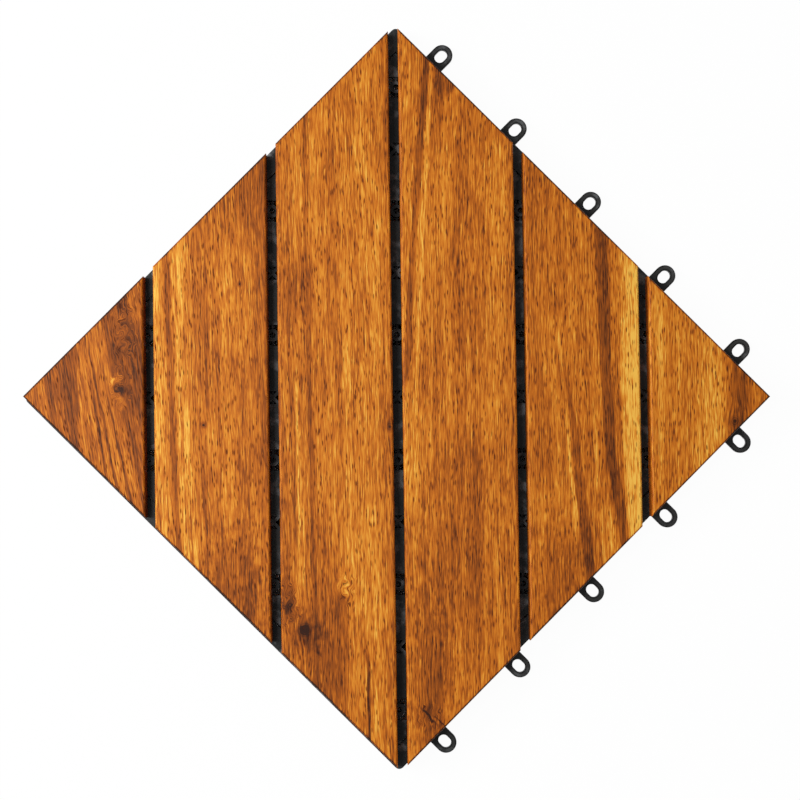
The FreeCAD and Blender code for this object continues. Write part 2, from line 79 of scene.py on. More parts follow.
# Grain of each slat, in millimetres across and along it from its middle, and in tone from 0, the
# darkest heartwood, to 1, the palest sapwood. lean is how far the grain drifts across for each
# millimetre along. tones are (across, tone). streaks are (across, lean, half width, lower end,
# upper end, shift of tone). patches are (across, along, half width, half length, shift of tone).
# curls, where the grain swirls, are (across, along, half width, half length, reach). knots are
# (across, along, radius).
FIGURES = {
    1: {
        "lean": -0.145,
        "tones": ((-33, 0.46), (-22, 0.45), (-12, 0.46), (-5, 0.48), (0, 0.50), (5, 0.51),
                  (12, 0.50), (17, 0.44), (24, 0.42), (33, 0.42)),
        "streaks": ((7, -0.20, 0.8, -60, 20, -0.30), (12, -0.22, 0.7, -70, 0, -0.32),
                    (4, -0.16, 0.7, -50, 10, -0.26), (24, -0.12, 1.0, -80, -20, -0.16),
                    (-13.2, -0.045, 8.6, -75, 95, -0.13), (-8.6, -0.045, 3.8, -10, 70, -0.07),
                    (27.0, -0.23, 9.3, -12, 95, -0.16)),
        "patches": ((15.5, 27, 5, 6, -0.12), (21, 5.5, 5, 3.5, -0.12), (22, 48, 8, 10, 0.12),
                    (17.2, 13, 3.4, 4.5, 0.22), (20.3, -2.5, 3.5, 5, 0.24), (24, -42, 8, 16, 0.06)),
        "curls": ((22.0, 38, 7, 18, 6.0), (19.5, 6, 5.5, 13, 8.0)),
        "knots": (),
    },
    2: {
        "lean": -0.027,
        "tones": ((-33, 0.69), (-28, 0.76), (-24.5, 0.70), (-22.5, 0.38), (-20.5, 0.42),
                  (-18.5, 0.80), (-16, 0.78), (-12, 0.63), (-4, 0.55), (10, 0.57), (20, 0.51),
                  (28, 0.48), (33, 0.38)),
        "streaks": ((-2.2, 0.0, 1.2, -10, 90, -0.16), (-14.6, -0.06, 1.2, -120, 20, 0.14),
                    (-6, -0.03, 1.0, -120, -20, -0.14), (4, -0.02, 0.9, -90, 10, -0.10)),
        "patches": ((24.8, 123, 12, 24, -0.08), (16.8, 61, 12, 32, 0.09), (12, -107, 18, 45, -0.18),
                    (30, -40, 6, 60, -0.07)),
        "knots": ((16.5, 64.3, 0.5), (-4.2, -14.6, 0.6)),
    },
    3: {
        "lean": -0.008,
        "tones": ((-33, 0.46), (-26, 0.54), (-17, 0.60), (-14.6, 0.38), (-13.6, 0.40),
                  (-11.5, 0.57), (0, 0.55), (8, 0.59), (20, 0.62), (28, 0.56), (33, 0.46)),
        "streaks": ((18.5, 0.01, 1.0, -200, -148, -0.50), (-3, -0.01, 1.2, 20, 90, -0.10),
                    (26, 0.0, 1.2, -60, 70, -0.10), (-20, 0.0, 2.0, -110, -20, 0.10),
                    (-7.8, 0.0, 14.0, -200, -112, -0.13), (20, 0.0, 13.5, -200, -100, 0.03),
                    (-14.6, -0.05, 1.5, -60, 110, -0.11), (1.4, -0.06, 0.8, -70, 60, -0.12),
                    (-21.6, -0.01, 0.8, -75, 15, 0.22), (-24.8, -0.02, 0.9, -80, 40, -0.14),
                    (9.0, 0.0, 5.5, -90, 70, 0.03)),
        "patches": ((-24, 58, 8, 26, -0.12), (-2, -152, 9, 24, -0.04), (-17.5, -133, 10, 11, -0.22),
                    (-27, -121, 5, 7, -0.20), (-28.5, -107, 4, 18, -0.16), (5.4, -107, 2.5, 4, 0.22),
                    (1, -115, 6, 8, -0.10)),
        "curls": ((-28, -116, 7, 16, 4.0), (4.0, -108, 6, 9, 4.0)),
        "knots": ((-19.4, -130, 1.1), (29.8, -17, 0.9)),
    },
    4: {
        "lean": 0.01,
        "tones": ((-33, 0.54), (-20, 0.53), (-10, 0.51), (0, 0.49), (12, 0.50), (22, 0.54),
                  (30, 0.51), (33, 0.46)),
        "streaks": ((-31.8, 0.080, 2.0, 5, 215, -0.26), (-25.0, 0.060, 1.3, 20, 190, 0.18),
                    (-13, 0.02, 1.2, -60, 60, -0.10), (8, 0.0, 1.0, -120, 40, -0.08),
                    (-205.8, -1.04, 0.9, -183, -175, -0.40), (-202.4, -1.04, 0.6, -187, -180, -0.34)),
        "patches": ((-5.7, 181, 7, 14, -0.20), (-19, -160, 15, 42, -0.14), (22, 122, 8, 30, 0.08),
                    (5, -90, 26, 60, -0.06), (-12, 165, 18, 40, -0.06), (-19, -181, 9, 9, -0.10),
                    (-25, -20, 7, 55, 0.09)),
        "curls": ((-20, -179, 9, 9, 3.0),),
        "knots": (),
    },
    5: {
        "lean": 0.0,
        "tones": ((-33, 0.50), (-20, 0.52), (-12, 0.55), (-2, 0.56), (6, 0.54), (16, 0.50),
                  (21, 0.60), (24.5, 0.88), (29, 1.0), (33, 0.92)),
        "streaks": ((13.0, -0.022, 3.3, -38, 120, -0.25), (9.35, -0.15, 3.0, -110, -38, -0.25),
                    (2.9, -0.15, 1.7, -112, -62, 0.20), (-9.2, -0.12, 3.0, -125, 15, -0.21),
                    (-10.6, -0.075, 1.2, -80, 40, 0.22), (19.5, -0.02, 1.0, -90, 20, -0.14),
                    (4, -0.07, 1.2, -110, -10, 0.16), (5, -0.02, 1.4, 30, 120, 0.12)),
        "patches": ((-17, -100, 14, 34, -0.15), (-12, 95, 14, 36, -0.05), (14, -45, 7, 22, -0.05)),
        "knots": (),
    },
    6: {
        "lean": 0.0,
        "tones": ((-33, 0.60), (-20, 0.62), (-8, 0.65), (4, 0.70), (9, 0.64), (12, 0.48),
                  (15, 0.33), (24, 0.34), (27, 0.40), (30, 0.46), (35, 0.46)),
        "streaks": ((17.5, -0.10, 1.2, -30, 30, -0.14), (21, 0.10, 1.0, -25, 25, -0.12),
                    (-14, 0.0, 1.4, -40, 50, -0.08), (-27, 0.0, 1.2, -60, 60, 0.08)),
        "patches": ((3, 5, 5, 28, 0.06),),
        "knots": ((15.7, -16.4, 0.9),),
    },
}


def linear(red, green, blue):
    """A screen colour, from 0 to 255, as the linear values that a shader takes."""
    return tuple(Color((red / 255, green / 255, blue / 255)).from_srgb_to_scene_linear())


def colour(name, text, *rgb):
    """A colour the user can change."""
    return FloatVectorProperty(name=name, description=text, subtype="COLOR", size=3,
                               min=0.0, max=1.0, default=linear(*rgb))


def length(name, text, default):
    """A length the user can change, in millimetres."""
    return FloatProperty(name=name, description=text, default=default, min=0.0)


def share(name, text, default):
    """A share from 0 to 1 that the user can change."""
    return FloatProperty(name=name, description=text, default=default, min=0.0, max=1.0,
                         subtype="FACTOR")


class DeckWood(bpy.types.PropertyGroup):
    """Oiled acacia of the slats."""

    heart: colour("Heart", "Eyes of the knots", 46, 20, 8)
    pore: colour("Pore", "Open pores", 84, 34, 8)
    umber: colour("Umber", "Darkest streaks", 112, 56, 18)
    russet: colour("Russet", "Reddish-brown wood", 161, 82, 20)
    amber: colour("Amber", "Wood of middle tone", 201, 111, 28)
    honey: colour("Honey", "Golden wood", 228, 147, 46)
    straw: colour("Straw", "Palest sapwood", 246, 190, 80)
    fibre_width: length("Fibre width", "Width of one fibre streak in millimetres", 0.58)
    fibre_length: length("Fibre length", "Length of one fibre streak in millimetres", 44.0)
    pore_spacing: length("Pore spacing", "Distance across between open pores in millimetres", 1.25)
    pore_length: length("Pore length", "Distance along between open pores in millimetres", 6.5)
    relief: length("Relief", "Depth of the open grain in millimetres", 0.06)
    oil: share("Oil", "Roughness of the oiled face", 0.46)


class DeckGrid(bpy.types.PropertyGroup):
    """Moulded plastic of the grid."""

    black: colour("Black", "Plastic in the clean parts", 21, 23, 24)
    # This grey is also the painted highlight on the loops' crowns
    scuffed_and_highlight: colour("Scuffed", "Plastic where it is rubbed grey", 58, 58, 57)
    dusty: colour("Dusty", "Plastic under fine dust", 112, 114, 115)
    gloss: share("Gloss", "Roughness of the plastic", 0.42)
    texture: length("Texture", "Size of the mould's fine texture in millimetres", 0.35)


class DeckScrew(bpy.types.PropertyGroup):
    """Screws that hold the slats from below, in millimetres."""

    head_radius: length("Head radius", "Radius of the pan head", 3.2)
    head_height: length("Head height", "Height of the pan head", 2.2)
    shank_radius: length("Shank radius", "Radius over the thread", 1.5)
    core_radius: length("Core radius", "Radius at the thread's root", 1.08)
    thread_pitch: length("Thread pitch", "Distance between turns of the thread", 1.35)
    shank_length: length("Shank length", "Length from the seat to the tip", 15.0)
    recess_depth: length("Recess depth", "Depth of the cross recess", 1.3)
    recess_span: length("Recess span", "Width over the cross recess", 3.6)
    recess_slot: length("Recess slot", "Width of one slot of the cross recess", 0.8)
    steps: IntProperty(name="Steps", description="Steps around a screw", default=36, min=12, max=64)
    zinc: colour("Zinc", "Bright zinc plating", 205, 206, 204)


class DeckStudio(bpy.types.PropertyGroup):
    """Floor, light and camera."""

    floor: colour("Floor", "Pale floor", 246, 246, 245)
    floor_side: FloatProperty(name="Floor side", description="Side of the floor", default=3.2,
                              min=0.5, unit="LENGTH")
    whiteness: share("Whiteness", "How far the floor is raised to white", 0.97)
    sky: FloatProperty(name="Sky", description="Strength of the even light from all sides",
                       default=0.20, min=0.0)
    key: FloatProperty(name="Key light", description="Power of the soft light on the left",
                       default=21.0, min=0.0, unit="POWER")
    top: FloatProperty(name="Top light", description="Power of the light nearly overhead",
                       default=9.5, min=0.0, unit="POWER")
    lens: FloatProperty(name="Lens", description="Focal length on a 36 mm sensor, in millimetres",
                        default=85.47, min=10.0)


# Nodes

def feed(tree, node, feeds):
    """Feeds a node's inputs with plain values or with other nodes' outputs."""
    for name, value in feeds.items():
        if isinstance(value, bpy.types.NodeSocket):
            tree.links.new(value, node.inputs[name])
        else:
            node.inputs[name].default_value = value


def put(tree, kind, feeds=None, **settings):
    """Adds a node, sets it up and feeds its inputs."""
    node = tree.nodes.new(kind)
    for name, value in settings.items():
        setattr(node, name, value)
    feed(tree, node, feeds or {})
    return node


def calc(tree, operation, *values):
    """The result of a Math node."""
    return put(tree, "ShaderNodeMath", dict(enumerate(values)), operation=operation).outputs[0]


def soft_step(tree, value, start, end):
    """0 where value is at start, 1 where it is at end, with a soft passage between."""
    return put(tree, "ShaderNodeMapRange", {"Value": value, "From Min": start, "From Max": end},
               interpolation_type="SMOOTHSTEP").outputs[0]


def vector(tree, x, y, z):
    """A vector from three numbers."""
    return put(tree, "ShaderNodeCombineXYZ", {"X": x, "Y": y, "Z": z}).outputs[0]


def split(tree, point):
    """The X, Y and Z of a vector."""
    return put(tree, "ShaderNodeSeparateXYZ", {"Vector": point}).outputs


def span(tree, x, y):
    """How long a flat vector is."""
    return put(tree, "ShaderNodeVectorMath", {0: vector(tree, x, y, 0.0)},
               operation="LENGTH").outputs["Value"]


def in_mm(tree, point, turn=0.0):
    """A point of the object in millimetres, on axes turned round Z."""
    return put(tree, "ShaderNodeMapping", {"Vector": point, "Rotation": (0.0, 0.0, -turn),
                                           "Scale": (1 / MM, 1 / MM, 1 / MM)}).outputs["Vector"]


def stretched(tree, place, width, run):
    """Place across, along and deep, counted in features that are width wide and run long."""
    across, along, depth = place
    return vector(tree, calc(tree, "DIVIDE", across, width), calc(tree, "DIVIDE", along, run),
                  calc(tree, "DIVIDE", depth, width))


def noise(tree, point, detail, roughness=0.5):
    """Even noise from 0 to 1."""
    return put(tree, "ShaderNodeTexNoise", {"Vector": point, "Scale": 1.0, "Detail": detail,
                                            "Roughness": roughness}).outputs["Fac"]


def layer(tree, place, width, run, detail, roughness=0.5):
    """Noise in features that are width wide and run long."""
    return noise(tree, stretched(tree, place, width, run), detail, roughness)


def swing(tree, value, reach):
    """Turns noise around 0.5 into a shift of up to reach to either side of 0."""
    return calc(tree, "MULTIPLY", calc(tree, "SUBTRACT", value, 0.5), 2.0 * reach)


def ramp(tree, value, stops):
    """A colour or a grey tone picked along stops of (place, colour)."""
    node = put(tree, "ShaderNodeValToRGB", {"Fac": value})
    points = node.color_ramp.elements
    while len(points) < len(stops):
        points.new(1.0)
    for point, (place, rgb) in zip(points, stops):
        point.position = place
        point.color = (*rgb, 1.0)
    return node.outputs["Color"]


def rgba(value):
    """A plain colour with its alpha; another node's output stays as it is."""
    return value if isinstance(value, bpy.types.NodeSocket) else (*value, 1.0)


def blend(tree, amount, under, over):
    """A colour that goes from under to over as amount goes from 0 to 1."""
    return put(tree, "ShaderNodeMix", {"Factor": amount, "A": rgba(under), "B": rgba(over)},
               data_type="RGBA").outputs["Result"]


def new_group(name, inputs, outputs):
    """An empty node group with number sockets, or colour sockets where a name starts with Colour."""
    tree = bpy.data.node_groups.new(name, "ShaderNodeTree")
    for socket in inputs:
        tree.interface.new_socket(socket, in_out="INPUT", socket_type="NodeSocketFloat")
    for socket in outputs:
        kind = "NodeSocketColor" if socket.startswith("Colour") else "NodeSocketFloat"
        tree.interface.new_socket(socket, in_out="OUTPUT", socket_type=kind)
    return tree, tree.nodes.new("NodeGroupInput").outputs, tree.nodes.new("NodeGroupOutput")


def new_material(name):
    """A material with a Principled shader, its node tree and that shader."""
    material = bpy.data.materials.new(name)
    material.use_nodes = True
    return material, material.node_tree, material.node_tree.nodes["Principled BSDF"]


# Wood

# Noise in the wood: width across the grain and run along it, in millimetres, and detail
FINE_GRAIN = (0.52, 9.0, 2.0)
BANDS = (6.0, 190.0, 1.0)
CLOUDS = (20.0, 46.0, 2.0)
PORE_CLUSTERS = (4.0, 60.0, 2.0)
WANDER = (30.0, 120.0, 2.0)
SHIVER = (5.0, 22.0, 2.0)
RAGGED_EDGE = (3.0, 5.0, 3.0)
SWIRLS = (4.0, 5.0, 1.0)
FIBRE_DETAIL = 3.0

# How far the noise moves the grain across, and how far into the noise each slat lies from the next,
# in millimetres
WANDER_REACH = 2.6
SHIVER_REACH = 0.9
GRAIN_APART = 37.0

# Where each of the wood's colours lies in tone, from the darkest to the palest
TONE_STOPS = (("heart", 0.0), ("umber", 0.18), ("russet", 0.38), ("amber", 0.56), ("honey", 0.78),
              ("straw", 1.0))

# How far each kind of noise swings the tone to either side. Fibres and fine grain are livelier in pale
# wood: their swing grows with the tone by LIVELY's first value, from its second.
FIBRE_SWING = 0.42
FINE_SWING = 0.66
BAND_SWING = 0.18
CLOUD_SWING = 0.16
LIVELY = (1.0, 0.38)

# How much darker the wood is round its open pores, where oil soaks it; on sawn ends and their arrises,
# partly darker oiled end grain and partly painted shade; and on upright faces, painted shade
SOAKED_LOSS = 0.15
END_SOAK_AND_SHADE = 0.42
WALL_PAINTED_SHADE = 0.16

# Open pores: from the edge to the middle of a pore and of the soaked wood round it, in shares of their
# spacing, where clusters of them start and end in the noise, the least share outside clusters, and how
# strongly they show their own colour
PORE_EDGE = (0.30, 0.14)
SOAKED_EDGE = (0.46, 0.14)
CLUSTER_EDGE = (0.25, 0.65)
LEAST_OPEN = 0.30
PORE_STRENGTH = 0.85

# Finish: how the fine grain and the pores change the roughness, how high the fibres stand against the
# pores' depth, and the oil's reflection
ROUGHNESS_SWING = 0.06
PORE_ROUGHNESS = 0.2
FIBRE_HEIGHT = 0.5
OIL_SPECULAR = 0.10

# How far a face looks along the slat, from its sides to its sawn ends, and how far it looks up or
# down, from its arrises to its upright faces, over which the painted shade grows
END_FACING = (0.03, 0.40)
WALL_FACING = (0.60, 0.10)

# Figure: the longest fade at a streak's ends and its soft edge around its half width, in millimetres,
# a patch's soft edge in shares of its half sizes, and how far across the tones of a slat are given
STREAK_FADE = 12.0
STREAK_EDGE = (0.35, -0.55)
PATCH_EDGE = (1.25, 0.35)
TONE_REACH = 36.0

# Knots, in their radii: how far they bend the grain across and along, and the soft edges of their
# halo and eye. The rest is how strongly they bend it, how fast their rings follow each other, and
# the tones of rings and halo.
KNOT_BEND = (3.4, 8.0)
KNOT_HALO = (5.0, 0.8)
KNOT_EYE = (1.25, 0.45)
KNOT_PULL = 0.85
RING_TURN = 5.0
RING_TONE = 0.06
HALO_TONE = -0.26

# What a group takes for each value of a slat's figure
SPOT_SOCKETS = {
    "knot": ("Middle across", "Middle along", "Radius"),
    "patch": ("Middle across", "Middle along", "Half width", "Half length", "Shift"),
    "streak": ("Middle", "Lean", "Half width", "Lower end", "Upper end", "Shift"),
}


def streak_group():
    """A straight streak in the grain, as a shift of tone."""
    tree, give, take = new_group("Streak", ("Across", "Along", *SPOT_SOCKETS["streak"]), ("Shift",))
    run = calc(tree, "SUBTRACT", give["Upper end"], give["Lower end"])
    fade = calc(tree, "MINIMUM", calc(tree, "MULTIPLY", run, 0.5), STREAK_FADE)
    middle = calc(tree, "MULTIPLY_ADD", give["Along"], give["Lean"], give["Middle"])
    aside = calc(tree, "ABSOLUTE", calc(tree, "SUBTRACT", give["Across"], middle))
    outer, inner = (calc(tree, "ADD", give["Half width"], edge) for edge in STREAK_EDGE)
    body = soft_step(tree, aside, outer, inner)
    lower = soft_step(tree, give["Along"], calc(tree, "SUBTRACT", give["Lower end"], fade),
                      calc(tree, "ADD", give["Lower end"], fade))
    upper = soft_step(tree, give["Along"], calc(tree, "ADD", give["Upper end"], fade),
                      calc(tree, "SUBTRACT", give["Upper end"], fade))
    inside = calc(tree, "MULTIPLY", calc(tree, "MULTIPLY", lower, upper), body)
    feed(tree, take, {"Shift": calc(tree, "MULTIPLY", inside, give["Shift"])})
    return tree


def away(tree, give, width, run):
    """Distance from a group's middle, counted in its width across and its run along."""
    across = calc(tree, "DIVIDE", calc(tree, "SUBTRACT", give["Across"], give["Middle across"]), width)
    along = calc(tree, "DIVIDE", calc(tree, "SUBTRACT", give["Along"], give["Middle along"]), run)
    return span(tree, across, along)


def patch_group():
    """A ragged patch of lighter or darker wood, as a shift of tone."""
    tree, give, take = new_group("Patch", ("Across", "Along", "Ragged", *SPOT_SOCKETS["patch"]),
                                 ("Shift",))
    distance = away(tree, give, give["Half width"], give["Half length"])
    inside = soft_step(tree, calc(tree, "ADD", distance, give["Ragged"]), *PATCH_EDGE)
    feed(tree, take, {"Shift": calc(tree, "MULTIPLY", inside, give["Shift"])})
    return tree


def knot_group():
    """A knot: the grain bends round it, and a brown halo with rings surrounds its dark eye."""
    tree, give, take = new_group("Knot", ("Across", "Along", "Ragged", *SPOT_SOCKETS["knot"]),
                                 ("Bend", "Shift", "Eye"))
    near = away(tree, give, *(calc(tree, "MULTIPLY", give["Radius"], reach) for reach in KNOT_BEND))
    pull = calc(tree, "EXPONENT", calc(tree, "MULTIPLY", calc(tree, "MULTIPLY", near, near), -1.0))
    aside = calc(tree, "SUBTRACT", give["Middle across"], give["Across"])
    bend = calc(tree, "MULTIPLY", calc(tree, "MULTIPLY", aside, pull), KNOT_PULL)
    distance = calc(tree, "ADD", away(tree, give, give["Radius"], give["Radius"]), give["Ragged"])
    wave = calc(tree, "SINE", calc(tree, "MULTIPLY", distance, RING_TURN))
    rings = calc(tree, "MULTIPLY", wave, RING_TONE)
    halo = soft_step(tree, distance, *KNOT_HALO)
    feed(tree, take, {"Bend": bend,
                      "Shift": calc(tree, "MULTIPLY", halo, calc(tree, "ADD", rings, HALO_TONE)),
                      "Eye": soft_step(tree, distance, *KNOT_EYE)})
    return tree


def acacia_group(wood):
    """Oiled acacia of a given tone: fibres, bands and open pores, with painted shade on sawn ends and
    upright faces, as colour, roughness and height.
    """
    tree, give, take = new_group(
        "Acacia", ("Across", "Along", "Depth", "Tone", "Eye", "End", "Wall shade"),
        ("Colour", "Roughness", "Height"))
    place = (give["Across"], give["Along"], give["Depth"])
    fibre = layer(tree, place, wood.fibre_width, wood.fibre_length, FIBRE_DETAIL)
    fine = layer(tree, place, *FINE_GRAIN)
    pores, soaked = open_pores(tree, place, wood)

    swings = calc(tree, "ADD", swing(tree, fibre, FIBRE_SWING), swing(tree, fine, FINE_SWING))
    tone = calc(tree, "MULTIPLY", swings, calc(tree, "MULTIPLY_ADD", give["Tone"], *LIVELY))
    for shift in (give["Tone"], swing(tree, layer(tree, place, *BANDS), BAND_SWING),
                  swing(tree, layer(tree, place, *CLOUDS), CLOUD_SWING)):
        tone = calc(tree, "ADD", tone, shift)
    # Painted shade: sawn ends with their arrises, which also stand for darker oiled end grain, and
    # upright faces are darkened
    for mask, loss in ((soaked, SOAKED_LOSS), (give["End"], END_SOAK_AND_SHADE), (give["Wall shade"], WALL_PAINTED_SHADE)):
        tone = calc(tree, "SUBTRACT", tone, calc(tree, "MULTIPLY", mask, loss))
    face = ramp(tree, tone, [(stop, getattr(wood, name)) for name, stop in TONE_STOPS])
    pored = blend(tree, calc(tree, "MULTIPLY", pores, PORE_STRENGTH), face, wood.pore)
    rough = calc(tree, "ADD", swing(tree, fine, ROUGHNESS_SWING), wood.oil)
    feed(tree, take, {
        "Colour": blend(tree, give["Eye"], pored, wood.heart),
        "Roughness": calc(tree, "MULTIPLY_ADD", pores, PORE_ROUGHNESS, rough),
        "Height": calc(tree, "SUBTRACT", calc(tree, "MULTIPLY", fibre, FIBRE_HEIGHT), pores)})
    return tree


def open_pores(tree, place, wood):
    """Masks of the open pores and of the wood round them that oil has soaked."""
    cells = put(tree, "ShaderNodeTexVoronoi",
                {"Vector": stretched(tree, place, wood.pore_spacing, wood.pore_length),
                 "Scale": 1.0, "Randomness": 1.0}).outputs["Distance"]
    cluster = soft_step(tree, layer(tree, place, *PORE_CLUSTERS), *CLUSTER_EDGE)
    open_share = calc(tree, "MULTIPLY_ADD", cluster, 1.0 - LEAST_OPEN, LEAST_OPEN)
    return [calc(tree, "MULTIPLY", soft_step(tree, cells, *edge), open_share)
            for edge in (PORE_EDGE, SOAKED_EDGE)]


def spot(tree, groups, kind, here, values):
    """What a group gives for one knot, patch or streak of the figure."""
    return put(tree, "ShaderNodeGroup", {**here, **dict(zip(SPOT_SOCKETS[kind], values))},
               node_tree=groups[kind]).outputs


def wood_place(tree, point, number):
    """Place across, along and into one slat, in millimetres from its middle."""
    turned = split(tree, in_mm(tree, point, SLAT_TURN))
    middle = (number - (len(FIGURES) + 1) / 2) * SLAT_PITCH
    return (calc(tree, "SUBTRACT", turned["X"], middle), turned["Y"],
            calc(tree, "ADD", turned["Z"], GRAIN_APART * number))


def figured(tree, place, figure, groups):
    """The grain as knots and curls bend it, the figure's shifts of tone, and the knots' eyes."""
    across, along, _ = place
    for moved, reach in ((WANDER, WANDER_REACH), (SHIVER, SHIVER_REACH)):
        across = calc(tree, "ADD", across, swing(tree, layer(tree, place, *moved), reach))
    here = {"Across": across, "Along": along,
            "Ragged": swing(tree, layer(tree, place, *RAGGED_EDGE), 1.0)}
    bent = across
    eye = 0.0
    shifts = []
    for values in figure["knots"]:
        knot = spot(tree, groups, "knot", here, values)
        bent = calc(tree, "ADD", bent, knot["Bend"])
        eye = calc(tree, "MAXIMUM", eye, knot["Eye"])
        shifts.append(knot["Shift"])
    for values in figure["patches"]:
        shifts.append(spot(tree, groups, "patch", here, values)["Shift"])
    swirl = swing(tree, layer(tree, place, *SWIRLS), 1.0)
    for values in figure.get("curls", ()):
        curl = spot(tree, groups, "patch", here, values)
        bent = calc(tree, "MULTIPLY_ADD", swirl, curl["Shift"], bent)
    for values in figure["streaks"]:
        streak = spot(tree, groups, "streak", {"Across": bent, "Along": along}, values)
        shifts.append(streak["Shift"])
    return bent, shifts, eye


def tone_across(tree, grain, tones):
    """A slat's own tones across its grain."""
    profile = calc(tree, "MULTIPLY_ADD", grain, 0.5 / TONE_REACH, 0.5)
    return ramp(tree, profile, [((across + TONE_REACH) / (2 * TONE_REACH), (tone, tone, tone))
                                for across, tone in tones])


def cut_faces(tree, normal):
    """Masks of the sawn ends with their rounded arrises, and of all upright faces, which the painted
    shade darkens.
    """
    lengthwise = (-math.sin(SLAT_TURN), math.cos(SLAT_TURN), 0.0)
    facing = put(tree, "ShaderNodeVectorMath", {0: normal, 1: lengthwise}, operation="DOT_PRODUCT")
    end = calc(tree, "ABSOLUTE", facing.outputs["Value"])
    level = calc(tree, "ABSOLUTE", split(tree, normal)["Z"])
    return soft_step(tree, end, *END_FACING), soft_step(tree, level, *WALL_FACING)


def slat_material(number, figure, groups, wood):
    """Acacia with one slat's own streaks, patches and knots."""
    material, tree, shader = new_material("Oiled acacia, slat %d" % number)
    coordinates = put(tree, "ShaderNodeTexCoord").outputs
    place = wood_place(tree, coordinates["Object"], number)
    bent, shifts, eye = figured(tree, place, figure, groups)
    grain = calc(tree, "SUBTRACT", bent, calc(tree, "MULTIPLY", place[1], figure["lean"]))
    tone = tone_across(tree, grain, figure["tones"])
    for shift in shifts:
        tone = calc(tree, "ADD", tone, shift)
    # Masks that carry the painted shade on sawn ends, their arrises and upright faces
    end, wall_shade = cut_faces(tree, coordinates["Normal"])
    acacia = put(tree, "ShaderNodeGroup", {"Across": grain, "Along": place[1], "Depth": place[2],
                                           "Tone": tone, "Eye": eye, "End": end, "Wall shade": wall_shade},
                 node_tree=groups["acacia"]).outputs
    bump = put(tree, "ShaderNodeBump", {"Height": acacia["Height"], "Distance": wood.relief * MM})
    feed(tree, shader, {"Base Color": acacia["Colour"], "Roughness": acacia["Roughness"],
                        "Specular IOR Level": OIL_SPECULAR, "Normal": bump.outputs["Normal"]})
    return material


# Plastic and metal

# Noise in the plastic: width and run in millimetres, detail and, for the clouds, roughness
RUBBED_CLOUDS = (16.0, 16.0, 4.0, 0.6)
SPECKS = (1.1, 1.1, 3.0)
DUST_DRIFTS = (7.0, 7.0, 3.0)
TEXTURE_DETAIL = 2.0

# Wear: the clouds' share against the specks', the noise in which rubbed places and dust start and
# end, how far a face looks up from where dust slides off to where it lies, and how far the loops'
# crowns are rubbed grey and lit by a painted highlight
CLOUD_SHARE = 0.7
RUBBED_EDGE = (0.42, 0.72)
DUST_EDGE = (0.50, 0.72)
DUST_FACING = (0.3, 0.9)
CROWN_WEAR_AND_HIGHLIGHT = 0.75

# Loops, in millimetres: where they leave the skirt, and how their rubbed grey and painted highlight grow
# outwards from the painted shade at their root, both from their middle, and from edge to crown across
# their ring. Their edges and root are painted nearly black as shade.
LOOP_ROOT = (-6.5, -6.2)
WEAR_AND_HIGHLIGHT_GROWTH = (-8.5, 1.0)
CROWN_RISE = (0.25, 1.15)
PAINTED_RIM_SHADE = (0.0015, 0.0015, 0.0015)

# Finish of the plastic: swing of its roughness, its reflection, and its texture's depth in
# millimetres and strength
GLOSS_SWING = 0.08
PLASTIC_SPECULAR = 0.14
TEXTURE_DEPTH = 0.04
TEXTURE_STRENGTH = 0.6

# Zinc: detail of its blotches, where the dark ones end and the bright ones start, how dark they are,
# and how its roughness grows with them from its least
BLOTCH_DETAIL = 4.0
BLOTCH_EDGE = (0.3, 0.6)
BLOTCH_DARK = 0.6
BLOTCH_ROUGHNESS = (0.25, 0.16)


def plastic_material(grid):
    """Black polypropylene with a mould's fine texture, rubbed grey and dusty in places, with a painted
    highlight on the loops' crowns and painted shade at their edges and root.
    """
    material, tree, shader = new_material("Black moulded plastic")
    coordinates = put(tree, "ShaderNodeTexCoord").outputs
    axes = split(tree, in_mm(tree, coordinates["Object"]))
    place = (axes["X"], axes["Y"], axes["Z"])
    speck = layer(tree, place, *SPECKS)
    patchy = calc(tree, "ADD",
                  calc(tree, "MULTIPLY", layer(tree, place, *RUBBED_CLOUDS), CLOUD_SHARE),
                  calc(tree, "MULTIPLY", speck, 1.0 - CLOUD_SHARE))
    on_loop, crown = loop_crown(tree, axes)
    # Rubbed grey in places, and on the loops' crowns partly rubbed wear and partly a painted highlight
    rubbed_and_highlit = calc(tree, "MULTIPLY_ADD", calc(tree, "MULTIPLY", on_loop, crown), CROWN_WEAR_AND_HIGHLIGHT,
                soft_step(tree, patchy, *RUBBED_EDGE))
    face = blend(tree, calc(tree, "MINIMUM", rubbed_and_highlit, 1.0), grid.black, grid.scuffed_and_highlight)
    upwards = soft_step(tree, split(tree, coordinates["Normal"])["Z"], *DUST_FACING)
    drift = soft_step(tree, layer(tree, place, *DUST_DRIFTS), *DUST_EDGE)
    face = blend(tree, calc(tree, "MULTIPLY", drift, upwards), face, grid.dusty)
    # Painted shade: the loops' edges and root, away from the crown, go nearly black
    rim = calc(tree, "MULTIPLY", on_loop, calc(tree, "SUBTRACT", 1.0, crown))
    texture = layer(tree, place, grid.texture, grid.texture, TEXTURE_DETAIL)
    bump = put(tree, "ShaderNodeBump", {"Height": texture, "Distance": TEXTURE_DEPTH * MM,
                                        "Strength": TEXTURE_STRENGTH})
    feed(tree, shader, {
        "Base Color": blend(tree, rim, face, PAINTED_RIM_SHADE),
        "Roughness": calc(tree, "ADD", swing(tree, speck, GLOSS_SWING), grid.gloss),
        "Specular IOR Level": PLASTIC_SPECULAR,
        "Normal": bump.outputs["Normal"]})
    return material


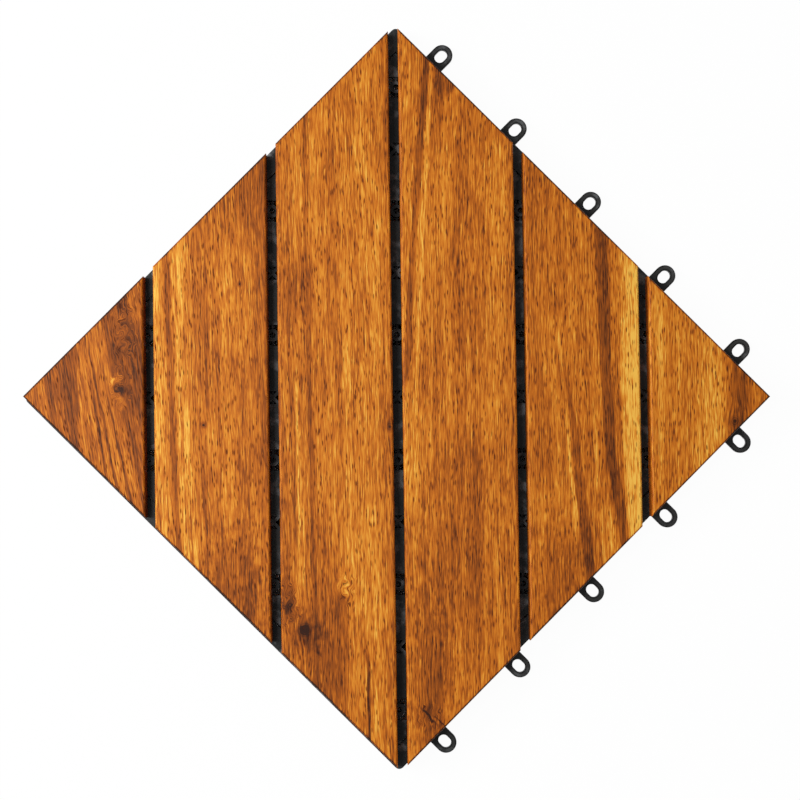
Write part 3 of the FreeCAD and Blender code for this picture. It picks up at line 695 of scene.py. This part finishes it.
def loop_crown(tree, axes):
    """1 on the loops, and how near a point on them is to the crown between slot and outer edge, fading
    towards the root: the painted highlight follows it, the painted shade its lack.
    """
    outwards = calc(tree, "SUBTRACT", calc(tree, "MAXIMUM", axes["X"], axes["Y"]), LOOP_PLACE)
    aside = calc(tree, "PINGPONG", calc(tree, "MINIMUM", axes["X"], axes["Y"]), LOOP_PITCH / 2)
    past_slot = calc(tree, "SUBTRACT", calc(tree, "ABSOLUTE", outwards), LOOP_STRAIGHT)
    past_root = calc(tree, "SUBTRACT", outwards, LOOP_STRAIGHT)
    from_slot = span(tree, calc(tree, "MAXIMUM", past_slot, 0.0), aside)
    from_middle = span(tree, calc(tree, "MAXIMUM", past_root, 0.0), aside)
    inner = calc(tree, "SUBTRACT", from_slot, LOOP_SLOT / 2)
    outer = calc(tree, "SUBTRACT", LOOP_WIDTH / 2, from_middle)
    ridge = soft_step(tree, calc(tree, "MINIMUM", inner, outer), *CROWN_RISE)
    crown = calc(tree, "MULTIPLY", ridge, soft_step(tree, outwards, *WEAR_AND_HIGHLIGHT_GROWTH))
    return soft_step(tree, outwards, *LOOP_ROOT), crown


def zinc_material(screw):
    """Bright zinc with darker blotches."""
    material, tree, shader = new_material("Bright zinc")
    coordinates = put(tree, "ShaderNodeTexCoord").outputs
    blotch = noise(tree, in_mm(tree, coordinates["Object"]), BLOTCH_DETAIL)
    darker = tuple(BLOTCH_DARK * channel for channel in screw.zinc)
    feed(tree, shader, {
        "Base Color": ramp(tree, blotch, tuple(zip(BLOTCH_EDGE, (darker, screw.zinc)))),
        "Metallic": 1.0,
        "Roughness": calc(tree, "MULTIPLY_ADD", blotch, *BLOTCH_ROUGHNESS)})
    return material


# Meshes

# How near points are merged, and the angle past which faces meet at a sharp edge
WELD = 0.004 * MM
SHARP_EDGE = math.radians(34)

# Pan head: its eased edge at the seat, inwards and down in millimetres; its straight wall in shares of
# its height; its rounding, from a share of its radius and over a share of its height, in steps; and
# the last ring of its dome, in shares of both
HEAD_EASE = (0.12, 0.14)
HEAD_WALL = 0.45
ROUNDING_FROM = 0.62
ROUNDING_DROP = 0.47
ROUNDING_STEPS = 6
DOME_RING = (0.35, 0.98)

# Thread: where its crest starts and ends and its root begins again, in shares of the pitch. Tip: the
# length that narrows and the flat at its end, in millimetres, and the share of the width left there
THREAD_FLANKS = (0.42, 0.52, 0.62)
TIP_LENGTH = 3.2
TIP_FLAT = 0.02
TIP_LEFT = 0.08

# Cross recess: how far its cutter starts past the head, in millimetres, and the share of its length
# left at its deep end
RECESS_START = 0.2
RECESS_LEFT = 0.55


def new_piece(context, name, shape, *materials):
    """An object at the origin, with its place in its mesh."""
    mesh = bpy.data.meshes.new(name)
    shape.to_mesh(mesh)
    shape.free()
    for material in materials:
        mesh.materials.append(material)
    piece = bpy.data.objects.new(name, mesh)
    context.scene.collection.objects.link(piece)
    return piece


def spun(profile, turns, steps, pitch=0.0, closed=True):
    """A line of (radius, height) points, in millimetres, turned round Z and raised by pitch each turn."""
    shape = bmesh.new()
    points = [shape.verts.new((radius * MM, 0.0, height * MM)) for radius, height in profile]
    edges = [shape.edges.new(pair) for pair in zip(points, points[1:])]
    bmesh.ops.spin(shape, geom=points + edges, cent=(0, 0, 0), axis=(0, 0, 1),
                   dvec=(0, 0, pitch * MM / steps), angle=math.tau * turns, steps=steps * turns,
                   use_merge=closed)
    bmesh.ops.remove_doubles(shape, verts=shape.verts, dist=WELD)
    return shape


def screw_head(screw):
    """A pan head, seat upwards, from the seat at height 0 down to its domed face."""
    radius, height = screw.head_radius, screw.head_height
    profile = [(0.0, 0.0), (radius - HEAD_EASE[0], 0.0), (radius, -HEAD_EASE[1]),
               (radius, -HEAD_WALL * height)]
    for step in range(1, ROUNDING_STEPS + 1):
        turn = math.radians(90 * step / ROUNDING_STEPS)
        profile.append((radius * (ROUNDING_FROM + (1.0 - ROUNDING_FROM) * math.cos(turn)),
                        -height * (HEAD_WALL + ROUNDING_DROP * math.sin(turn))))
    profile += [(DOME_RING[0] * radius, -DOME_RING[1] * height), (0.0, -height)]
    head = spun(profile, 1, screw.steps)
    bmesh.ops.recalc_face_normals(head, faces=head.faces)
    return head


def screw_thread(screw):
    """The threaded shank, pointing up from the seat at height 0 to its tip."""
    root, crest, pitch = screw.core_radius, screw.shank_radius, screw.thread_pitch
    rise, fall, foot = (flank * pitch for flank in THREAD_FLANKS)
    profile = ((root, 0.0), (crest, rise), (crest, fall), (root, foot), (root, pitch))
    turns = int(screw.shank_length / pitch) - 1
    shape = spun(profile, turns, screw.steps, pitch, closed=False)
    tip = screw.shank_length * MM
    taper = tip - TIP_LENGTH * MM
    for point in shape.verts:
        point.co.z = min(point.co.z, tip - TIP_FLAT * MM)
        if point.co.z > taper:
            narrow = 1.0 - (1.0 - TIP_LEFT) * (point.co.z - taper) / (tip - taper)
            point.co.x *= narrow
            point.co.y *= narrow
    bmesh.ops.holes_fill(shape, edges=[edge for edge in shape.edges if edge.is_boundary], sides=0)
    bmesh.ops.recalc_face_normals(shape, faces=shape.faces)
    return shape


def recess_cutter(screw):
    """Two crossed wedges, narrower at their deep end, that cut the cross recess."""
    shape = bmesh.new()
    rim = -(screw.head_height + RECESS_START) * MM
    floor = -(screw.head_height - screw.recess_depth) * MM
    for span_x, span_y in ((screw.recess_span, screw.recess_slot),
                           (screw.recess_slot, screw.recess_span)):
        for point in bmesh.ops.create_cube(shape, size=1.0)["verts"]:
            deep = point.co.z > 0
            narrow = RECESS_LEFT if deep else 1.0
            point.co.x *= span_x * MM * (narrow if span_x > span_y else 1.0)
            point.co.y *= span_y * MM * (narrow if span_y > span_x else 1.0)
            point.co.z = floor if deep else rim
    return shape


def cut_out(context, name, body, cutter):
    """The mesh of body after cutter is taken out of it."""
    body_piece = new_piece(context, name, body)
    cutter_piece = new_piece(context, name + "_cutter", cutter)
    modifier = body_piece.modifiers.new("Recess", "BOOLEAN")
    modifier.operation = "DIFFERENCE"
    modifier.solver = "EXACT"
    modifier.use_self = True
    modifier.object = cutter_piece
    mesh = bpy.data.meshes.new_from_object(
        body_piece.evaluated_get(context.evaluated_depsgraph_get()))
    for piece in (body_piece, cutter_piece):
        bpy.data.objects.remove(piece)
    return mesh


def one_screw(context, screw):
    """The mesh of one screw, its seat at height 0."""
    head = cut_out(context, "screw_head", screw_head(screw), recess_cutter(screw))
    shape = screw_thread(screw)
    shape.from_mesh(head)
    bpy.data.meshes.remove(head)
    mesh = bpy.data.meshes.new("screw_pattern")
    shape.to_mesh(mesh)
    shape.free()
    return mesh


# Studio

# Each lamp's place and side, in metres
KEY_LIGHT = ((-1.05, -0.80, 1.15), 0.60)
TOP_LIGHT = ((-0.42, -0.36, 1.55), 0.35)

# Camera: its place and the nearest that it sees, in metres, its turn in degrees, and the width of its
# sensor in millimetres
CAMERA_PLACE = (0.01036, -0.03317, 1.08982)
CAMERA_TURN = (1.549, -0.926, 44.706)
CAMERA_NEAREST = 0.01
SENSOR_WIDTH = 36.0

# How far the floor lies below the tile, and how far out from the grid's side it turns from shaded to
# white, in millimetres
FLOOR_DROP = 0.3
SHADE_EDGE = (-1.5, 0.5)


def seen(tree):
    """1 for rays from the camera, from reflections and through clear material, 0 for light."""
    ray = put(tree, "ShaderNodeLightPath").outputs
    mirror = calc(tree, "MAXIMUM", ray["Is Glossy Ray"], ray["Is Transmission Ray"])
    return calc(tree, "MAXIMUM", ray["Is Camera Ray"], mirror)


def outside(tree):
    """1 on the floor around the deck, 0 under it."""
    side = -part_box("base_grid")[0].x
    axes = split(tree, put(tree, "ShaderNodeTexCoord").outputs["Object"])
    edge = calc(tree, "MAXIMUM", calc(tree, "ABSOLUTE", axes["X"]), calc(tree, "ABSOLUTE", axes["Y"]))
    return soft_step(tree, edge, *(side + margin * MM for margin in SHADE_EDGE))


def floor_material(studio):
    """A pale floor that the camera and reflections see nearly white, with the deck's shadow kept."""
    material = bpy.data.materials.new("Pale floor")
    material.use_nodes = True
    tree = material.node_tree
    tree.nodes.clear()
    matt = put(tree, "ShaderNodeBsdfDiffuse", {"Color": rgba(studio.floor)})
    white = put(tree, "ShaderNodeEmission", {"Color": (1.0, 1.0, 1.0, 1.0), "Strength": 1.0})
    raised = calc(tree, "MULTIPLY", seen(tree), studio.whiteness)
    raised = calc(tree, "MULTIPLY", raised, outside(tree))
    mix = put(tree, "ShaderNodeMixShader", {0: raised, 1: matt.outputs[0], 2: white.outputs[0]})
    put(tree, "ShaderNodeOutputMaterial", {"Surface": mix.outputs[0]})
    return material


def set_sky(context, studio):
    """Even white light from all sides, seen as white."""
    sky = bpy.data.worlds.new("Studio")
    sky.use_nodes = True
    tree = sky.node_tree
    strength = put(tree, "ShaderNodeMapRange", {"Value": seen(tree), "To Min": studio.sky})
    feed(tree, tree.nodes["Background"], {"Color": (1.0, 1.0, 1.0, 1.0),
                                          "Strength": strength.outputs[0]})
    context.scene.world = sky


def add_lamp(context, name, place, side, power):
    """A square soft light that faces the deck's middle."""
    lamp = bpy.data.lights.new(name, "AREA")
    lamp.size = side
    lamp.energy = power
    holder = bpy.data.objects.new(name, lamp)
    holder.location = place
    holder.rotation_euler = Vector(place).to_track_quat("Z", "Y").to_euler()
    context.scene.collection.objects.link(holder)


def add_camera(context, studio):
    """The photograph's camera, nearly straight above the deck, with one corner upwards."""
    camera = bpy.data.cameras.new("camera")
    camera.lens = studio.lens
    camera.sensor_width = SENSOR_WIDTH
    camera.clip_start = CAMERA_NEAREST
    holder = bpy.data.objects.new("camera", camera)
    holder.location = CAMERA_PLACE
    holder.rotation_euler = tuple(math.radians(turn) for turn in CAMERA_TURN)
    context.scene.collection.objects.link(holder)
    context.scene.camera = holder


# Operators

class DeckSlats(bpy.types.Operator):
    """Finish the slats in oiled acacia"""

    bl_idname = "object.deck_slats"
    bl_label = "Finish slats"

    def execute(self, context):
        wood = context.scene.deck_wood
        groups = {"streak": streak_group(), "patch": patch_group(), "knot": knot_group(),
                  "acacia": acacia_group(wood)}
        for number, figure in FIGURES.items():
            material = slat_material(number, figure, groups, wood)
            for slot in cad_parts["slat_%d" % number].material_slots:
                slot.material = material
        return {"FINISHED"}


class DeckBase(bpy.types.Operator):
    """Finish the grid in black plastic"""

    bl_idname = "object.deck_base"
    bl_label = "Finish grid"

    def execute(self, context):
        material = plastic_material(context.scene.deck_grid)
        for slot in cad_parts["base_grid"].material_slots:
            slot.material = material
        return {"FINISHED"}


class DeckScrews(bpy.types.Operator):
    """Model the pan-head screws under the deck"""

    bl_idname = "object.deck_screws"
    bl_label = "Model screws"

    def execute(self, context):
        screw = context.scene.deck_screw
        pattern = one_screw(context, screw)
        places = [Vector((side * x, side * y, SCREW_SEAT)) * MM
                  for side in (1, -1) for x, y in SCREW_PLACES]
        deck = bmesh.new()
        for order, place in enumerate(places):
            before = len(deck.verts)
            deck.from_mesh(pattern)
            deck.verts.ensure_lookup_table()
            copy = deck.verts[before:]
            bmesh.ops.rotate(deck, verts=copy, cent=(0, 0, 0),
                             matrix=Matrix.Rotation(SCREW_TURN * order, 3, "Z"))
            bmesh.ops.translate(deck, verts=copy, vec=place)
        bpy.data.meshes.remove(pattern)
        screws = new_piece(context, "pan_head_screws", deck, zinc_material(screw))
        screws.data.shade_smooth()
        screws.data.set_sharp_from_angle(angle=SHARP_EDGE)
        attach(screws, BODY)
        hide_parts("deck_screws")
        return {"FINISHED"}


class DeckStage(bpy.types.Operator):
    """Set up the pale floor, the soft light and the camera straight above the deck"""

    bl_idname = "object.deck_stage"
    bl_label = "Set up studio"

    def execute(self, context):
        studio = context.scene.deck_studio
        floor = bmesh.new()
        bmesh.ops.create_grid(floor, x_segments=1, y_segments=1, size=studio.floor_side / 2)
        bmesh.ops.translate(floor, verts=floor.verts, vec=(0, 0, -FLOOR_DROP * MM))
        new_piece(context, "studio_floor", floor, floor_material(studio))
        set_sky(context, studio)
        add_lamp(context, "key_light", *KEY_LIGHT, studio.key)
        add_lamp(context, "top_light", *TOP_LIGHT, studio.top)
        add_camera(context, studio)
        context.scene.view_settings.view_transform = "Standard"
        return {"FINISHED"}


class DeckPanel(bpy.types.Panel):
    """Deck tile's sizes, colours and steps"""

    bl_idname = "VIEW3D_PT_deck_tile"
    bl_label = "Deck tile"
    bl_space_type = "VIEW_3D"
    bl_region_type = "UI"
    bl_category = "Deck tile"

    def draw(self, context):
        for operator, settings in STEPS:
            box = self.layout.box()
            group = getattr(context.scene, settings)
            for name in group.bl_rna.properties.keys():
                if name not in ("rna_type", "name"):
                    box.prop(group, name)
            box.operator(operator.bl_idname)


SETTINGS = {"deck_wood": DeckWood, "deck_grid": DeckGrid, "deck_screw": DeckScrew,
            "deck_studio": DeckStudio}
STEPS = ((DeckSlats, "deck_wood"), (DeckBase, "deck_grid"), (DeckScrews, "deck_screw"),
         (DeckStage, "deck_studio"))
CLASSES = (*SETTINGS.values(), *(operator for operator, _ in STEPS), DeckPanel)


def register():
    """Adds the classes and the scene's settings."""
    for kind in CLASSES:
        bpy.utils.register_class(kind)
    for name, kind in SETTINGS.items():
        setattr(bpy.types.Scene, name, PointerProperty(type=kind))


def unregister():
    """Takes the settings and the classes out again."""
    for name in SETTINGS:
        delattr(bpy.types.Scene, name)
    for kind in reversed(CLASSES):
        bpy.utils.unregister_class(kind)


def main():
    """Dresses the deck tile."""
    register()
    bpy.ops.object.deck_slats()
    bpy.ops.object.deck_base()
    bpy.ops.object.deck_screws()
    bpy.ops.object.deck_stage()


if __name__ == "__main__":
    main()
